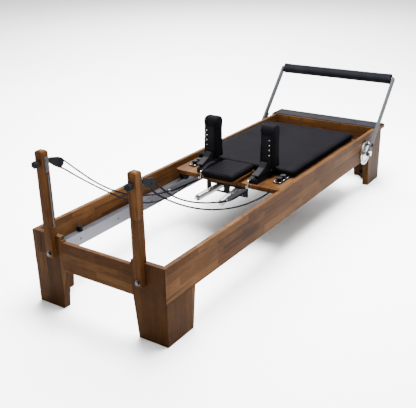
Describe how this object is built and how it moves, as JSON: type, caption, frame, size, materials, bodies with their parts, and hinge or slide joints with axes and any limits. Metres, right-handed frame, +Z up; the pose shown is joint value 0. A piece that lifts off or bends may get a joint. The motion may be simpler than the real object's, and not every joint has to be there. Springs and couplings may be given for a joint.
{
  "type": "pilates reformer",
  "caption": "Wooden exercise bench with a sliding sprung carriage, shoulder rests, rope pulleys on riser posts, hand straps and a tilting footbar.",
  "frame": {"origin": "on the floor, under the middle of the whole machine", "axes": "+X from the head end with the riser posts to the foot end with the footbar, +Y to the left seen from outside the head end, +Z up"},
  "size_m": [2.5662, 0.844, 0.768],
  "materials": {
    "wood": "oiled hardwood blocks, finger jointed",
    "rubber_mat": "fine textured black mat",
    "upholstery": "matt black vinyl over foam",
    "grip_foam": "matt black foam",
    "aluminium": "satin anodised",
    "black_rubber": "matt",
    "black_steel": "satin powder coat",
    "bright_steel": "zinc plated",
    "grey_paint": "satin grey paint",
    "black_plastic": "matt",
    "rope": "braided cord",
    "webbing": "woven webbing"
  },
  "bodies": {
    "frame": {"side_rail_left": "wood", "side_rail_right": "wood", "head_leg_left": "wood", "head_leg_right": "wood", "foot_leg_left": "wood", "foot_leg_right": "wood", "head_crossboard": "wood", "foot_crossboards": "wood", "platform_board": "wood", "riser_post_left": "wood", "riser_post_right": "wood", "platform_pad": "rubber_mat", "track_left": "aluminium", "track_right": "aluminium", "track_bumpers": "black_rubber", "caster_housings": "black_steel", "spring_bar": "black_steel", "frame_fasteners": "bright_steel", "pulley_eyebolts": "bright_steel", "drive_springs": "bright_steel", "footbar_discs": "bright_steel", "rope_left": "rope", "rope_right": "rope"},
    "carriage": {"carriage_base": "wood", "carriage_pad": "upholstery", "shoulder_bars": "black_steel", "wheel_brackets": "black_steel", "headrest_hinge": "bright_steel", "rope_cleats": "black_plastic", "strap_hooks": "bright_steel", "spring_mounts": "black_steel", "hand_strap_left": "webbing", "hand_strap_right": "webbing"},
    "headrest": {"headrest_board": "wood", "headrest_pad": "upholstery"},
    "footbar": {"footbar_arms": "grey_paint", "footbar_core": "bright_steel", "footbar_pad": "grip_foam"},
    "carriage_wheel_head_left": {"carriage_wheel_head_left": "black_rubber"},
    "carriage_wheel_foot_left": {"carriage_wheel_foot_left": "black_rubber"},
    "caster_wheel_head_left": {"caster_wheel_head_left": "black_rubber"},
    "caster_wheel_foot_left": {"caster_wheel_foot_left": "black_rubber"},
    "clamp_knob_left": {"clamp_knob_left": "black_plastic"},
    "pulley_block_left": {"pulley_block_left": "black_plastic"},
    "sheave_left": {"sheave_left": "black_plastic"},
    "shoulder_rest_left": {"shoulder_frame_left": "black_steel", "shoulder_pad_left": "upholstery"},
    "lock_pin_left": {"lock_pin_left": "black_plastic"},
    "loose_spring_left": {"loose_spring_left": "bright_steel"},
    "carriage_wheel_head_right": {"carriage_wheel_head_right": "black_rubber"},
    "carriage_wheel_foot_right": {"carriage_wheel_foot_right": "black_rubber"},
    "caster_wheel_head_right": {"caster_wheel_head_right": "black_rubber"},
    "caster_wheel_foot_right": {"caster_wheel_foot_right": "black_rubber"},
    "clamp_knob_right": {"clamp_knob_right": "black_plastic"},
    "pulley_block_right": {"pulley_block_right": "black_plastic"},
    "sheave_right": {"sheave_right": "black_plastic"},
    "shoulder_rest_right": {"shoulder_frame_right": "black_steel", "shoulder_pad_right": "upholstery"},
    "lock_pin_right": {"lock_pin_right": "black_plastic"},
    "loose_spring_right": {"loose_spring_right": "bright_steel"}
  },
  "joints": [
    {"name": "carriage_slide", "type": "slide", "parent": "frame", "child": "carriage", "axis": [1, 0, 0], "range_m": [-0.8, 0], "deforming": ["drive_springs", "rope_left", "rope_right", "hand_strap_left", "hand_strap_right"]},
    {"name": "carriage_wheel_head_left_spin", "type": "hinge", "parent": "carriage", "child": "carriage_wheel_head_left", "pos_m": [-0.1081, 0.33, 0.293], "axis": [0, 1, 0], "continuous": true},
    {"name": "carriage_wheel_foot_left_spin", "type": "hinge", "parent": "carriage", "child": "carriage_wheel_foot_left", "pos_m": [0.7619, 0.33, 0.293], "axis": [0, 1, 0], "continuous": true},
    {"name": "caster_wheel_head_left_spin", "type": "hinge", "parent": "frame", "child": "caster_wheel_head_left", "pos_m": [-1.1561, 0.3, 0.032], "axis": [0, 1, 0], "continuous": true},
    {"name": "caster_wheel_foot_left_spin", "type": "hinge", "parent": "frame", "child": "caster_wheel_foot_left", "pos_m": [1.0999, 0.3, 0.032], "axis": [0, 1, 0], "continuous": true},
    {"name": "clamp_knob_left_turn", "type": "hinge", "parent": "frame", "child": "clamp_knob_left", "pos_m": [-1.2681, 0.254, 0.712], "axis": [1, 0, 0], "continuous": true},
    {"name": "pulley_block_left_swing", "type": "hinge", "parent": "frame", "child": "pulley_block_left", "pos_m": [-1.1951, 0.254, 0.712], "axis": [0, 1, 0], "range_deg": [-30, 40]},
    {"name": "sheave_left_spin", "type": "hinge", "parent": "pulley_block_left", "child": "sheave_left", "pos_m": [-1.1391, 0.254, 0.685], "axis": [0, 1, 0], "continuous": true},
    {"name": "shoulder_rest_left_slide", "type": "slide", "parent": "carriage", "child": "shoulder_rest_left", "axis": [1, 0, 0], "range_m": [-0.06, 0]},
    {"name": "lock_pin_left_pull", "type": "slide", "parent": "footbar", "child": "lock_pin_left", "axis": [0, 1, 0], "range_m": [0, 0.012]},
    {"name": "loose_spring_left_swing", "type": "hinge", "parent": "carriage", "child": "loose_spring_left", "pos_m": [0.1019, 0.05, 0.29], "axis": [0, 0, 1], "range_deg": [-4, 4]},
    {"name": "carriage_wheel_head_right_spin", "type": "hinge", "parent": "carriage", "child": "carriage_wheel_head_right", "pos_m": [-0.1081, -0.33, 0.293], "axis": [0, 1, 0], "continuous": true},
    {"name": "carriage_wheel_foot_right_spin", "type": "hinge", "parent": "carriage", "child": "carriage_wheel_foot_right", "pos_m": [0.7619, -0.33, 0.293], "axis": [0, 1, 0], "continuous": true},
    {"name": "caster_wheel_head_right_spin", "type": "hinge", "parent": "frame", "child": "caster_wheel_head_right", "pos_m": [-1.1561, -0.3, 0.032], "axis": [0, 1, 0], "continuous": true},
    {"name": "caster_wheel_foot_right_spin", "type": "hinge", "parent": "frame", "child": "caster_wheel_foot_right", "pos_m": [1.0999, -0.3, 0.032], "axis": [0, 1, 0], "continuous": true},
    {"name": "clamp_knob_right_turn", "type": "hinge", "parent": "frame", "child": "clamp_knob_right", "pos_m": [-1.2681, -0.254, 0.712], "axis": [1, 0, 0], "continuous": true},
    {"name": "pulley_block_right_swing", "type": "hinge", "parent": "frame", "child": "pulley_block_right", "pos_m": [-1.1951, -0.254, 0.712], "axis": [0, 1, 0], "range_deg": [-30, 40]},
    {"name": "sheave_right_spin", "type": "hinge", "parent": "pulley_block_right", "child": "sheave_right", "pos_m": [-1.1391, -0.254, 0.685], "axis": [0, 1, 0], "continuous": true},
    {"name": "shoulder_rest_right_slide", "type": "slide", "parent": "carriage", "child": "shoulder_rest_right", "axis": [1, 0, 0], "range_m": [-0.06, 0]},
    {"name": "lock_pin_right_pull", "type": "slide", "parent": "footbar", "child": "lock_pin_right", "axis": [0, -1, 0], "range_m": [0, 0.012]},
    {"name": "loose_spring_right_swing", "type": "hinge", "parent": "carriage", "child": "loose_spring_right", "pos_m": [0.1019, -0.032, 0.29], "axis": [0, 0, 1], "range_deg": [-4, 4]},
    {"name": "headrest_tilt", "type": "hinge", "parent": "carriage", "child": "headrest", "pos_m": [-0.0161, 0, 0.3565], "axis": [0, 1, 0], "range_deg": [0, 35]},
    {"name": "footbar_tilt", "type": "hinge", "parent": "frame", "child": "footbar", "pos_m": [0.8839, 0, 0.258], "axis": [0, 1, 0], "range_deg": [-105, 30]}
  ],
  "couplings": [
    {"joint": "carriage_wheel_head_left_spin", "follows": "carriage_slide", "rad_per_m": 40.161},
    {"joint": "carriage_wheel_head_right_spin", "follows": "carriage_slide", "rad_per_m": 40.161},
    {"joint": "carriage_wheel_foot_left_spin", "follows": "carriage_slide", "rad_per_m": 40.161},
    {"joint": "carriage_wheel_foot_right_spin", "follows": "carriage_slide", "rad_per_m": 40.161}
  ]
}
